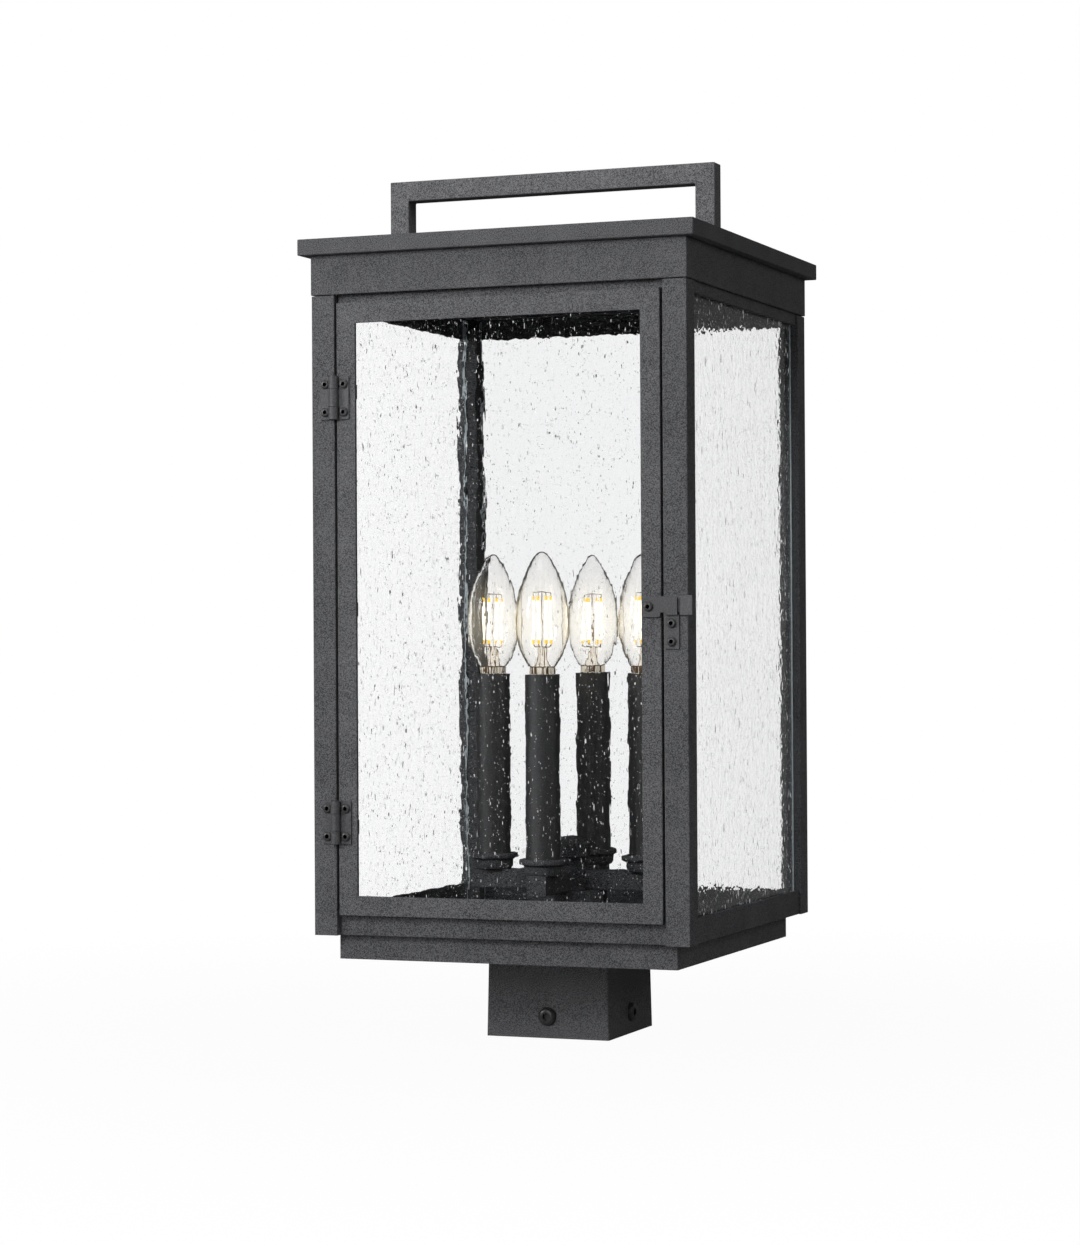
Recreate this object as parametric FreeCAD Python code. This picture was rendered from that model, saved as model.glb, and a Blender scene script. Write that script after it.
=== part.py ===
import FreeCAD, Part
import math
import os

os.makedirs("parts", exist_ok=True)

# An outdoor post light: a square glazed lantern with four candle lights on a fitter for a square post.
# Millimetres, +Z up, door toward -Y, origin at the centre of the fitter's open bottom rim.

# General stock
lantern_width = 254.0       # over the corner posts
tube_side = 15.9
tube_wall = 1.5
tube_rounding = 0.7
sheet = 1.5
sheet_rounding = 0.6
pane_thickness = 3.0
pane_gap = 0.3              # between a pane's edge and its frame
screw_play = 0.1            # radial, round a screw that doesn't turn
running_clearance = 0.05    # radial, round a pin that something turns on
moving_gap = 0.3            # between pieces that move past each other
alignment_share = 0.5       # how far an edge may stray from a direction and still count as along it

# Fitter that slips over the post
socket_side = 77.6          # a little more than the post
fitter_height = 55.3
fitter_foot_wall = 3.9
fitter_head_wall = 2.85
fitter_top_wall = 5.3
fitter_rounding = 1.4
clamp_height = 14.1
clamp_radius = 3.0
clamp_head_radius = 6.0
clamp_head_height = 3.4
spot_face_depth = 0.4
screw_socket_radius = 2.2   # in the heads of all the larger screws

# Base pan and the screws that hold it on the fitter
pan_inset = 12.15           # of its walls from the faces of the corner posts
pan_height = 15.9
plate_screw_offset = 30.0
plate_screw_radius = 2.5
plate_screw_head_radius = 4.8
plate_screw_head_height = 2.8
plate_screw_cover = 1.3     # metal left in the fitter under the screws

# Corner posts and rails
post_length = 410.5
rail_height = 15.9
front_rail_recess = 6.1
side_rail_recess = 2.0
side_lip = 3.0
side_flange = 2.0
top_rail_drop = 7.5         # of a top rail below the header box
pane_foot_gap = 0.2

# Header box and roof
header_overhang = 0.35
header_height = 25.4
header_flange = 8.3
roof_overhang = 6.5
roof_height = 10.3
roof_rounding = 0.9

# Lift handle
handle_inset = 19.75        # of its ends from the roof's edges
handle_bar = 13.2
handle_rise = 49.3
handle_forward = 24.3       # of the lantern's centre plane
handle_rounding = 0.7
handle_screw_radius = 2.5
handle_screw_head_radius = 4.4
handle_screw_head_height = 2.8
handle_screw_bite = 12.0

# Clips that hold the fixed panes
clip_sheet = 1.0
clip_width = 12.0
clip_height = 7.0
clip_foot = 6.0
clip_spread = 70.0          # of each clip from the middle of its pane

# Door
door_side_gap = 1.55
door_bottom_lap = 2.6       # over the lower front rail
door_top_lap = 1.9          # over the upper front rail
door_thickness = 5.5
door_rounding = 0.6
door_stile = 12.9
door_top_rail = 13.0
door_bottom_rail = 12.3
pane_overlap = 3.0          # of the door's pane behind its frame
door_clip_sheet = 0.8
door_clip_height = 9.0
door_clip_reach = 2.0       # over the pane
door_clip_tail = 2.5        # beyond its stud
door_stud_radius = 1.0
door_stud_length = 2.5
door_stud_inset = 6.5       # from the window's edge
door_clip_shares = (0.12, 0.5, 0.88)

# Hinges
upper_hinge_drop = 60.95    # of its middle below the door's top
lower_hinge_rise = 59.15    # of its middle above the door's bottom
hinge_height = 27.3
hinge_half_width = 9.9
leaf_thickness = 1.4
barrel_radius = 3.1
barrel_stand_off = 0.25
middle_knuckle = 11.6
knuckle_gap = 0.25
hinge_pin_radius = 1.6
pin_head_radius = 2.3
pin_head_height = 0.8
hinge_screw_spread = 8.95   # of each screw above and below the middle of its hinge
hinge_screw_offset = 6.4    # from the hinge line

# Button-head screws of the hinges, the latch and its keeper
button_radius = 3.0
button_height = 1.6
button_socket_radius = 1.3
button_shank_radius = 1.5
post_screw_bite = 4.0
door_screw_cover = 1.5      # metal left in the door behind its screws
dome_share = 0.62           # of the head's radius that its flat top keeps
socket_share = 0.55         # of the head's height that its socket takes

# Latch on the door, with its plate's edges measured from its pivot
latch_inset = 7.75          # of the pivot from the door's right edge
latch_rise = 195.3          # of the pivot above the door's bottom
latch_sheet = 1.5
latch_tail = 4.1
latch_shoulder = 7.7
latch_top = 6.3
latch_foot = 6.6
latch_neck_foot = 3.7
latch_rounding = 1.5
tab_start = 20.2
tab_length = 8.8
tab_foot = 5.4
tab_top = 6.8
tab_lean = 1.7              # of the tab's end, away from the lantern
pivot_shank_radius = 1.8
pivot_cover = 0.3
pivot_head_gap = 0.2

# Latch keeper on the right front post
keeper_inset = 0.8          # from the post's inner edge
keeper_width = 9.6
keeper_height = 22.2
keeper_sheet = 1.2
keeper_lip_inset = 0.9
keeper_lip_width = 8.2
keeper_lip_height = 9.4     # above the rest
keeper_lip_gap = 0.4
upper_keeper_screw_drop = 6.3
lower_keeper_screw_drop = 17.6

# Candle cluster
cluster_turn = 2.5          # degrees, seen from above, against the clock
candle_count = 4
arm_side = 12.7
arm_wall = 1.2
arm_reach = 67.5
candle_inset = 14.3         # of a candle from the end of its arm
canopy_radius = 24.5
canopy_wall = 1.2
canopy_height = 37.6
hub_radius = 14.0
hub_height = 35.0
hub_bore_radius = 5.0
hub_bore_depth = 10.6
hub_dome_height = 5.0
hub_waist_radius = 11.0
hub_waist_height = 3.0
nipple_radius = 4.85
nipple_bore_radius = 3.6
nipple_rise = 2.6           # into the hub
locknut_flats = 14.0
locknut_height = 3.0
wire_hole_radius = 3.0
wire_radius = 1.4
lead_radius = 2.6

# Candle cups and sleeves
cup_height = 10.4
cup_foot_radius = 11.6
cup_body_radius = 12.9
cup_rim_radius = 16.0
cup_floor = 2.2
cup_rim_height = 3.2
cup_neck_height = 1.2
sleeve_radius = 11.3
sleeve_wall = 0.8
sleeve_length = 128.0
sleeve_play = 0.1

# Lampholders
holder_height = 31.5
holder_floor = 4.0
holder_drop = 0.8           # of its top below the sleeve's top
holder_gap = 0.3            # between it and the sleeve
holder_bore_play = 0.15
holder_leg_offset = 6.0
holder_leg_width = 8.0
holder_leg_sheet = 1.0

# Bulbs
bulb_shell_radius = 6.9
bulb_contact_radius = 3.0
bulb_contact_height = 6.0
bulb_collar_radius = 8.7
bulb_collar_gap = 0.3       # above the sleeve
bulb_collar_height = 4.9
bulb_glass_wall = 0.7
bulb_radius = 17.3
bulb_height = 74.7
bulb_shares = (             # radius and height of the glass, upward from the collar
    (0.526, 0.0),
    (0.786, 0.115),
    (0.954, 0.238),
    (1.0, 0.361),
    (0.983, 0.489),
    (0.896, 0.616),
    (0.728, 0.743),
    (0.503, 0.863),
    (0.231, 0.968),
)
stem_radius = 3.8
stem_height = 13.1
strip_rise = 14.5           # of its foot above the collar
strip_length = 31.1
strip_side = 1.6
strip_count = 4
strip_distance = 6.4
support_radius = 0.4
support_rise = 48.5

# Directions
V = FreeCAD.Vector
UP = V(0, 0, 1)
EAST = V(1, 0, 0)
NORTH = V(0, 1, 0)
SIDES = (-NORTH, EAST, NORTH, -EAST)
full_turn = 360

# Levels and places that follow from the sizes
post_half = lantern_width / 2
post_inner = post_half - tube_side
post_centre = post_half - tube_side / 2
fitter_bottom_width = socket_side + fitter_foot_wall * 2
fitter_top_width = socket_side + fitter_head_wall * 2
socket_roof = fitter_height - fitter_top_wall
pan_half = post_half - pan_inset
pan_top = fitter_height + pan_height
pan_floor_top = fitter_height + sheet
post_top = pan_top + post_length
header_half = post_half + header_overhang
header_hole = header_half - header_flange
header_top = post_top + header_height
roof_half = header_half + roof_overhang
roof_top = header_top + roof_height
handle_half = roof_half - handle_inset
handle_leg_x = handle_half - handle_bar / 2
top_rail_foot = post_top - top_rail_drop
top_rail_top = top_rail_foot + rail_height
pane_outer = post_half - side_rail_recess - side_lip
pane_inner = pane_outer - pane_thickness
door_half = post_inner - door_side_gap
door_bottom = pan_top + rail_height - door_bottom_lap
door_top = top_rail_foot + door_top_lap
door_back = -post_half + door_thickness
door_pane_front = door_back - pane_thickness
window_half = door_half - door_stile
window_bottom = door_bottom + door_bottom_rail
window_top = door_top - door_top_rail
hinge_x = -post_inner + door_side_gap / 2
hinge_y = -post_half - barrel_stand_off - barrel_radius
hinge_middles = {"upper": door_top - upper_hinge_drop, "lower": door_bottom + lower_hinge_rise}
leaf_front = -post_half - leaf_thickness
door_screw_bite = door_thickness - door_screw_cover
latch_x = door_half - latch_inset
latch_z = door_bottom + latch_rise
latch_back = -post_half - moving_gap
latch_front = latch_back - latch_sheet
pivot_bite = door_thickness - pane_thickness - pivot_cover
keeper_left = post_inner + keeper_inset
keeper_rest = latch_z - latch_neck_foot - moving_gap
candle_distance = arm_reach - candle_inset
arm_foot = pan_floor_top + canopy_height
arm_top = arm_foot + arm_side
arm_middle = arm_foot + arm_side / 2
cup_floor_top = arm_top + cup_floor
cup_rim_top = arm_top + cup_height
sleeve_top = cup_floor_top + sleeve_length
holder_top = sleeve_top - holder_drop
holder_foot = holder_top - holder_height
collar_foot = sleeve_top + bulb_collar_gap
collar_top = collar_foot + bulb_collar_height
stem_top = collar_top + stem_height
first_candle = cluster_turn - full_turn / 4
candle_angles = [first_candle + full_turn * turn / candle_count for turn in range(candle_count)]


def span(half):
    """Limits of a width that is centred on zero."""
    return (-half, half)


def block(x, y, z):
    """Box between three pairs of limits."""
    return Part.makeBox(x[1] - x[0], y[1] - y[0], z[1] - z[0], V(x[0], y[0], z[0]))


def round_edges(shape, radius, direction):
    """Rounds the straight edges that run along a direction."""
    chosen = []
    for edge in shape.Edges:
        run = edge.valueAt(edge.LastParameter) - edge.valueAt(edge.FirstParameter)
        if run.cross(direction).Length < run.Length * alignment_share:
            chosen.append(edge)
    return shape.makeFillet(radius, chosen)


def rod(radius, start, end):
    """Round bar between two points."""
    run = end - start
    return Part.makeCylinder(radius, run.Length, start, run)


def turned(points):
    """Solid turned about +Z from a closed outline of radii and heights."""
    corners = [V(radius, 0, height) for radius, height in points]
    outline = Part.makePolygon(corners + corners[:1])
    return Part.Face(outline).revolve(V(0, 0, 0), UP, full_turn)


def aimed(shape, seat, outward):
    """Puts a piece made along +Z at its seat, with +Z turned outward."""
    placed = shape.copy()
    placed.Placement = FreeCAD.Placement(seat, FreeCAD.Rotation(UP, outward))
    return placed


def turned_about_centre(shape, angle):
    """Copy of a piece turned about the lantern's centre line."""
    copy = shape.copy()
    copy.rotate(V(0, 0, 0), UP, angle)
    return copy


def screw(head_radius, head_height, socket_radius, shank_radius, bite):
    """Domed screw along +Z, its head's seat at zero, with a round socket in the head."""
    socket_floor = head_height * (1 - socket_share)
    middle_radius = (head_radius + head_radius * dome_share) / 2
    rise = head_height * math.cos(math.pi / 4)
    return turned([
        (0, -bite),
        (shank_radius, -bite),
        (shank_radius, 0),
        (head_radius, 0),
        (head_radius, head_height - rise),
        (middle_radius, (head_height + rise) / 2),
        (head_radius * dome_share, head_height),
        (socket_radius, head_height),
        (socket_radius, socket_floor),
        (0, socket_floor),
    ])


def save(name, *pieces):
    """Writes one node, with one solid or a group of them."""
    shape = pieces[0]
    if len(pieces) > 1:
        shape = Part.makeCompound(list(pieces))
    shape.exportStep("parts/" + name + ".step")


def clamp_screws():
    """Screws that clamp the post, one in the middle of each side of the fitter."""
    bite = clamp_seat() - socket_side / 2
    piece = screw(clamp_head_radius, clamp_head_height, screw_socket_radius, clamp_radius, bite)
    return [aimed(piece, outward * clamp_seat() + UP * clamp_height, outward) for outward in SIDES]


def clamp_seat():
    """Distance from the centre line to the spot faces that the clamp screws sit on."""
    slope = (fitter_bottom_width - fitter_top_width) / 2 / fitter_height
    return fitter_bottom_width / 2 - slope * clamp_height - spot_face_depth


def corners(offset):
    """The four points at one distance from both centre planes."""
    return [V(x, y, 0) for x in span(offset) for y in span(offset)]


def square_outline(width, height):
    """Level square about the centre line."""
    half = width / 2
    points = [V(x, y, height) for x, y in ((-half, -half), (half, -half), (half, half), (-half, half))]
    return Part.makePolygon(points + points[:1])


def post_fitter():
    """Cast fitter: tapered outside, square socket below, holes for its screws and the nipple."""
    foot = square_outline(fitter_bottom_width, 0)
    top = square_outline(fitter_top_width, fitter_height)
    body = Part.makeLoft([foot, top], True, True)
    body = round_edges(body, fitter_rounding, UP)
    body = body.cut(block(span(socket_side / 2), span(socket_side / 2), (0, socket_roof)))
    middle = UP * clamp_height
    for outward in SIDES:
        seat = outward * clamp_seat() + middle
        body = body.cut(rod(clamp_head_radius + screw_play, seat, seat + outward * fitter_rounding))
        body = body.cut(rod(clamp_radius + screw_play, middle, seat))
    body = body.cut(rod(nipple_radius + screw_play, V(0, 0, 0), UP * fitter_height))
    for corner in corners(plate_screw_offset):
        top = corner + UP * fitter_height
        foot = corner + UP * (socket_roof + plate_screw_cover)
        body = body.cut(rod(plate_screw_radius + screw_play, foot, top))
    return body


def plate_screws():
    """Screws that hold the pan down on the fitter."""
    bite = sheet + fitter_top_wall - plate_screw_cover
    piece = screw(plate_screw_head_radius, plate_screw_head_height, screw_socket_radius,
                  plate_screw_radius, bite)
    return [aimed(piece, corner + UP * pan_floor_top, UP) for corner in corners(plate_screw_offset)]


def base_pan():
    """Folded tray that closes the bottom of the lantern."""
    inner = pan_half - sheet
    tray = block(span(pan_half), span(pan_half), (fitter_height, pan_top))
    tray = round_edges(tray, sheet_rounding, UP)
    tray = tray.cut(block(span(inner), span(inner), (pan_floor_top, pan_top)))
    tray = tray.cut(rod(nipple_radius + screw_play, UP * fitter_height, UP * pan_floor_top))
    for corner in corners(plate_screw_offset):
        start = corner + UP * fitter_height
        tray = tray.cut(rod(plate_screw_radius + screw_play, start, start + UP * sheet))
    return tray


def corner_post(x_side, y_side):
    """Square tube at one corner of the lantern."""
    x = x_side * post_centre
    y = y_side * post_centre
    half = tube_side / 2
    bore = half - tube_wall
    tube = block((x - half, x + half), (y - half, y + half), (pan_top, post_top))
    tube = round_edges(tube, tube_rounding, UP)
    return tube.cut(block((x - bore, x + bore), (y - bore, y + bore), (pan_top, post_top)))


def front_holes(post, places):
    """Drills a front post's face for screws at the given x and z places."""
    for x, z in places:
        start = V(x, -post_half, z)
        post = post.cut(rod(button_shank_radius + screw_play, start, start + NORTH * tube_wall))
    return post


def front_rail(foot):
    """Tube rail behind the door, between the front posts."""
    front = -post_half + front_rail_recess
    back = -post_inner
    rail = block(span(post_inner), (front, back), (foot, foot + rail_height))
    rail = round_edges(rail, sheet_rounding, EAST)
    bore = block(span(post_inner), (front + tube_wall, back - tube_wall),
                 (foot + tube_wall, foot + rail_height - tube_wall))
    return rail.cut(bore)


def rear_rail(foot, flange_foot):
    """Angle rail of the rear side: an upright lip outside the pane and a flange under or over it."""
    outer = post_half - side_rail_recess
    lip = block(span(post_inner), (pane_outer, outer), (foot, foot + rail_height))
    flange = block(span(post_inner), (post_inner, outer), (flange_foot, flange_foot + side_flange))
    return lip.fuse(flange).removeSplitter()


def header_box():
    """Band under the roof, with a flange that the roof lies on."""
    band = block(span(header_half), span(header_half), (post_top, header_top))
    band = round_edges(band, sheet_rounding, UP)
    inner = header_half - sheet
    band = band.cut(block(span(inner), span(inner), (post_top, header_top - sheet)))
    return band.cut(block(span(header_hole), span(header_hole), (header_top - sheet, header_top)))


def roof_cap():
    """Folded roof plate: top, rim and a return flange on the header box."""
    cap = block(span(roof_half), span(roof_half), (header_top, roof_top))
    cap = round_edges(cap, roof_rounding, UP)
    inner = roof_half - sheet
    cap = cap.cut(block(span(inner), span(inner), (header_top + sheet, roof_top - sheet)))
    cap = cap.cut(block(span(header_hole), span(header_hole), (header_top, header_top + sheet)))
    for x in span(handle_leg_x):
        foot = V(x, -handle_forward, roof_top - sheet)
        cap = cap.cut(rod(handle_screw_radius + screw_play, foot, foot + UP * sheet))
    return cap


def handle():
    """Square-bar handle: two legs and a top bar in one piece."""
    inner = handle_half - handle_bar
    depth = (-handle_forward - handle_bar / 2, -handle_forward + handle_bar / 2)
    top = roof_top + handle_rise
    bar = block(span(handle_half), depth, (roof_top, top))
    bar = bar.cut(block(span(inner), depth, (roof_top, top - handle_bar)))
    bar = bar.makeFillet(handle_rounding, bar.Edges)
    for x in span(handle_leg_x):
        foot = V(x, -handle_forward, roof_top)
        bar = bar.cut(rod(handle_screw_radius + screw_play, foot, foot + UP * handle_screw_bite))
    return bar


def handle_screws():
    """Screws from inside the roof up into the handle's legs."""
    bite = sheet + handle_screw_bite - moving_gap
    piece = screw(handle_screw_head_radius, handle_screw_head_height, screw_socket_radius,
                  handle_screw_radius, bite)
    return [aimed(piece, V(x, -handle_forward, roof_top - sheet), -UP) for x in span(handle_leg_x)]


def rear_pane():
    """Fixed pane of the rear side, standing on the flange of its lower rail."""
    foot = pan_top + side_flange + pane_foot_gap
    top = top_rail_top - side_flange - pane_gap
    return block(span(post_inner - pane_gap), (pane_inner, pane_outer), (foot, top))


def rear_clips():
    """Angle clips that keep the rear pane against its lips, two below and two above."""
    back = pane_inner
    clips = []
    for x in span(clip_spread):
        width = (x - clip_width / 2, x + clip_width / 2)
        floor = pan_top + side_flange
        leg = block(width, (back - clip_sheet, back), (floor, floor + clip_height))
        foot = block(width, (back - clip_foot, back), (floor, floor + clip_sheet))
        clips.append(leg.fuse(foot).removeSplitter())
        ceiling = top_rail_top - side_flange
        leg = block(width, (back - clip_sheet, back), (ceiling - clip_height, ceiling))
        foot = block(width, (back - clip_foot, back), (ceiling - clip_sheet, ceiling))
        clips.append(leg.fuse(foot).removeSplitter())
    return clips


def door_frame():
    """Door frame, with the pane's rebate in its back and holes for its screws and studs."""
    frame = block(span(door_half), (-post_half, door_back), (door_bottom, door_top))
    frame = round_edges(frame, door_rounding, UP)
    frame = frame.cut(block(span(window_half), (-post_half, door_back), (window_bottom, window_top)))
    reach = pane_overlap + pane_gap
    frame = frame.cut(block(span(window_half + reach), (door_pane_front, door_back),
                            (window_bottom - reach, window_top + reach)))
    for x, z in door_screw_places():
        start = V(x, -post_half, z)
        frame = frame.cut(rod(button_shank_radius + screw_play, start, start + NORTH * door_screw_bite))
    pivot = V(latch_x, -post_half, latch_z)
    frame = frame.cut(rod(pivot_shank_radius + screw_play, pivot, pivot + NORTH * pivot_bite))
    for x, z in door_stud_places():
        start = V(x, door_back, z)
        frame = frame.cut(rod(door_stud_radius + screw_play, start, start - NORTH * door_stud_length))
    return frame


def door_pane():
    """Pane of the door, in the rebate."""
    return block(span(window_half + pane_overlap), (door_pane_front, door_back),
                 (window_bottom - pane_overlap, window_top + pane_overlap))


def door_stud_places():
    """Where the studs of the door's clips go into the stiles, as x and z."""
    heights = [window_bottom + (window_top - window_bottom) * share for share in door_clip_shares]
    return [(x, z) for x in span(window_half + door_stud_inset) for z in heights]


def door_clips():
    """Flat clips on the back of the stiles, each with its stud."""
    clips = []
    for x, z in door_stud_places():
        side = math.copysign(1, x)
        tip = side * (window_half + pane_overlap - door_clip_reach)
        tail = x + side * door_clip_tail
        plate = block(sorted((tip, tail)), (door_back, door_back + door_clip_sheet),
                      (z - door_clip_height / 2, z + door_clip_height / 2))
        stud = rod(door_stud_radius, V(x, door_back, z), V(x, door_back - door_stud_length, z))
        clips.append(plate.fuse(stud).removeSplitter())
    return clips


def hinge_screw_places(x):
    """Heights and side of the four screws in the leaves on one side of the hinge line."""
    return [(x, middle + z) for middle in hinge_middles.values() for z in span(hinge_screw_spread)]


def post_screw_places():
    """Hinge screws in the left front post."""
    return hinge_screw_places(hinge_x - hinge_screw_offset)


def door_screw_places():
    """Hinge screws in the door's left stile."""
    return hinge_screw_places(hinge_x + hinge_screw_offset)


def keeper_screw_places():
    """Screws of the latch keeper, in the right front post."""
    x = keeper_left + keeper_width / 2
    return [(x, keeper_rest - upper_keeper_screw_drop), (x, keeper_rest - lower_keeper_screw_drop)]


def front_buttons(places, seat_y, bite):
    """Button-head screws in the front of the lantern."""
    piece = screw(button_radius, button_height, button_socket_radius, button_shank_radius, bite)
    return [aimed(piece, V(x, seat_y, z), -NORTH) for x, z in places]


def hinge_leaf(middle, side, knuckles):
    """One leaf of a hinge, its plate to one side of the hinge line, with its knuckles."""
    bottom = middle - hinge_height / 2
    top = middle + hinge_height / 2
    depth = (leaf_front, -post_half)
    near = barrel_radius + moving_gap
    plate = block(sorted((hinge_x + side * near, hinge_x + side * hinge_half_width)), depth, (bottom, top))
    for low, high in knuckles:
        strap = block(sorted((hinge_x, hinge_x + side * near)), depth, (middle + low, middle + high))
        barrel = Part.makeCylinder(barrel_radius, high - low, V(hinge_x, hinge_y, middle + low))
        plate = plate.fuse(strap).fuse(barrel)
    foot = V(hinge_x, hinge_y, bottom)
    bore = Part.makeCylinder(hinge_pin_radius + running_clearance, hinge_height, foot)
    leaf = plate.cut(bore).removeSplitter()
    for z in span(hinge_screw_spread):
        start = V(hinge_x + side * hinge_screw_offset, -post_half, middle + z)
        hole = rod(button_shank_radius + screw_play, start, start - NORTH * leaf_thickness)
        leaf = leaf.cut(hole)
    return leaf


def post_leaf(middle):
    """Leaf on the post, with the upper and lower knuckles."""
    inner = middle_knuckle / 2
    outer = hinge_height / 2
    return hinge_leaf(middle, -1, [(-outer, -inner), (inner, outer)])


def door_leaf(middle):
    """Leaf on the door, with the middle knuckle."""
    inner = middle_knuckle / 2 - knuckle_gap
    return hinge_leaf(middle, 1, [(-inner, inner)])


def hinge_pin(middle):
    """Pin through all knuckles, with a flat head on top."""
    foot = V(hinge_x, hinge_y, middle - hinge_height / 2)
    pin = Part.makeCylinder(hinge_pin_radius, hinge_height, foot)
    head = Part.makeCylinder(pin_head_radius, pin_head_height, foot + UP * hinge_height)
    return pin.fuse(head).removeSplitter()


def latch_arm():
    """Latch: a flat plate that turns on the door, with a neck and a finger tab that leans outward."""
    shoulder = latch_x + latch_shoulder
    top = latch_z + latch_top
    wide = block((latch_x - latch_tail, shoulder), (latch_front, latch_back), (latch_z - latch_foot, top))
    wide = round_edges(wide, latch_rounding, NORTH)
    start = latch_x + tab_start
    end = start + tab_length
    neck = block((shoulder - latch_rounding * 2, start), (latch_front, latch_back),
                 (latch_z - latch_neck_foot, top))
    foot = latch_z - tab_foot
    points = [
        V(start, latch_back, foot),
        V(start, latch_front, foot),
        V(end, latch_front - tab_lean, foot),
        V(end, latch_back - tab_lean, foot),
    ]
    tab = Part.Face(Part.makePolygon(points + points[:1])).extrude(UP * (tab_foot + tab_top))
    arm = wide.fuse(neck).fuse(tab).removeSplitter()
    pivot = V(latch_x, latch_back, latch_z)
    return arm.cut(rod(pivot_shank_radius + running_clearance, pivot, pivot - NORTH * latch_sheet))


def latch_pivot_screw():
    """Shouldered screw that the latch arm turns on."""
    seat = latch_front - pivot_head_gap
    bite = -post_half + pivot_bite - seat
    piece = screw(button_radius, button_height, button_socket_radius, pivot_shank_radius, bite)
    return aimed(piece, V(latch_x, seat, latch_z), -NORTH)


def latch_keeper():
    """Bent strip on the right post: back plate, rest under the latch's neck and lip in front of it."""
    lip_back = latch_front - keeper_lip_gap
    lip_front = lip_back - keeper_sheet
    lip_left = keeper_left + keeper_lip_inset
    lip_width = (lip_left, lip_left + keeper_lip_width)
    plate = block((keeper_left, keeper_left + keeper_width), (-post_half - keeper_sheet, -post_half),
                  (keeper_rest - keeper_height, keeper_rest))
    rest = block(lip_width, (lip_front, -post_half), (keeper_rest - keeper_sheet, keeper_rest))
    lip = block(lip_width, (lip_front, lip_back),
                (keeper_rest - keeper_sheet, keeper_rest + keeper_lip_height))
    keeper = plate.fuse(rest).fuse(lip).removeSplitter()
    for x, z in keeper_screw_places():
        start = V(x, -post_half, z)
        keeper = keeper.cut(rod(button_shank_radius + screw_play, start, start - NORTH * keeper_sheet))
    return keeper


def candle_place(angle):
    """Foot of a candle's centre line."""
    turn = math.radians(angle)
    return V(math.cos(turn), math.sin(turn), 0) * candle_distance


def wiring_canopy():
    """Round cover on the pan that hides the wire joints and carries the cross."""
    foot = UP * pan_floor_top
    cover = Part.makeCylinder(canopy_radius, canopy_height, foot)
    hollow = Part.makeCylinder(canopy_radius - canopy_wall, canopy_height - sheet, foot)
    hole = Part.makeCylinder(nipple_radius + screw_play, canopy_height, foot)
    return cover.cut(hollow).cut(hole)


def cluster_hub():
    """Turned centre body that the arms meet, with passages for the wires."""
    hub_top = arm_foot + hub_height
    waist_foot = arm_top + hub_waist_height
    waist_top = waist_foot + hub_waist_height
    hub = turned([
        (0, arm_foot),
        (hub_radius, arm_foot),
        (hub_radius, arm_top),
        (hub_waist_radius, waist_foot),
        (hub_waist_radius, waist_top),
        (hub_radius, waist_top + hub_waist_height),
        (hub_radius, hub_top - hub_dome_height),
        (hub_waist_radius, hub_top - sheet),
        (hub_bore_radius, hub_top),
        (0, hub_top),
    ])
    hub = hub.cut(Part.makeCylinder(hub_bore_radius, hub_bore_depth, UP * arm_foot))
    for angle in candle_angles:
        turn = math.radians(angle)
        outward = V(math.cos(turn), math.sin(turn), 0)
        middle = UP * arm_middle
        hub = hub.cut(rod(wire_hole_radius, middle, middle + outward * hub_radius * 2))
    return hub


def cluster_arm(angle):
    """Square tube from the hub outward, closed at its end, with the wire hole under its cup."""
    half = arm_side / 2
    bore = half - arm_wall
    arm = block((0, arm_reach), span(half), (arm_foot, arm_top))
    arm = round_edges(arm, sheet_rounding, EAST)
    arm = arm.cut(block((0, arm_reach - arm_wall), span(bore), (arm_foot + arm_wall, arm_top - arm_wall)))
    arm = arm.cut(Part.makeCylinder(hub_radius, arm_side, UP * arm_foot))
    hole = Part.makeCylinder(wire_hole_radius, arm_wall, V(candle_distance, 0, arm_top - arm_wall))
    return turned_about_centre(arm.cut(hole), angle)


def supply_nipple():
    """Threaded tube from the fitter's top up into the hub, which the wires pass through."""
    length = arm_foot + nipple_rise - socket_roof
    tube = Part.makeCylinder(nipple_radius, length, UP * socket_roof)
    return tube.cut(Part.makeCylinder(nipple_bore_radius, length, UP * socket_roof))


def locknut(foot):
    """Hexagon nut on the threaded tube."""
    corner = locknut_flats / math.sqrt(3)
    points = [V(corner * math.cos(math.pi / 3 * turn), corner * math.sin(math.pi / 3 * turn), foot)
              for turn in range(6)]
    prism = Part.Face(Part.makePolygon(points + points[:1])).extrude(UP * locknut_height)
    return prism.cut(Part.makeCylinder(nipple_radius + screw_play, locknut_height, UP * foot))


def supply_wires():
    """Wires from the fitter up to the hub, out through the arms and up to the lampholders."""
    middle = UP * arm_middle
    wires = rod(lead_radius, UP * socket_roof, middle + UP * wire_radius)
    for angle in candle_angles:
        place = candle_place(angle)
        turn = Part.makeSphere(wire_radius, place + middle)
        wires = wires.fuse(rod(wire_radius, middle, place + middle)).fuse(turn)
        wires = wires.fuse(rod(wire_radius, place + middle, place + UP * holder_foot))
    return wires


def candle_cup():
    """Turned cup with a wide rim, on the centre line, to be moved to its place."""
    seat = sleeve_radius + sleeve_play
    rim_foot = cup_rim_top - cup_rim_height
    return turned([
        (wire_hole_radius, arm_top),
        (cup_foot_radius, arm_top),
        (cup_body_radius, cup_floor_top),
        (cup_body_radius, rim_foot - cup_neck_height),
        (cup_rim_radius, rim_foot),
        (cup_rim_radius, cup_rim_top),
        (seat, cup_rim_top),
        (seat, cup_floor_top),
        (wire_hole_radius, cup_floor_top),
    ])


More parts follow.
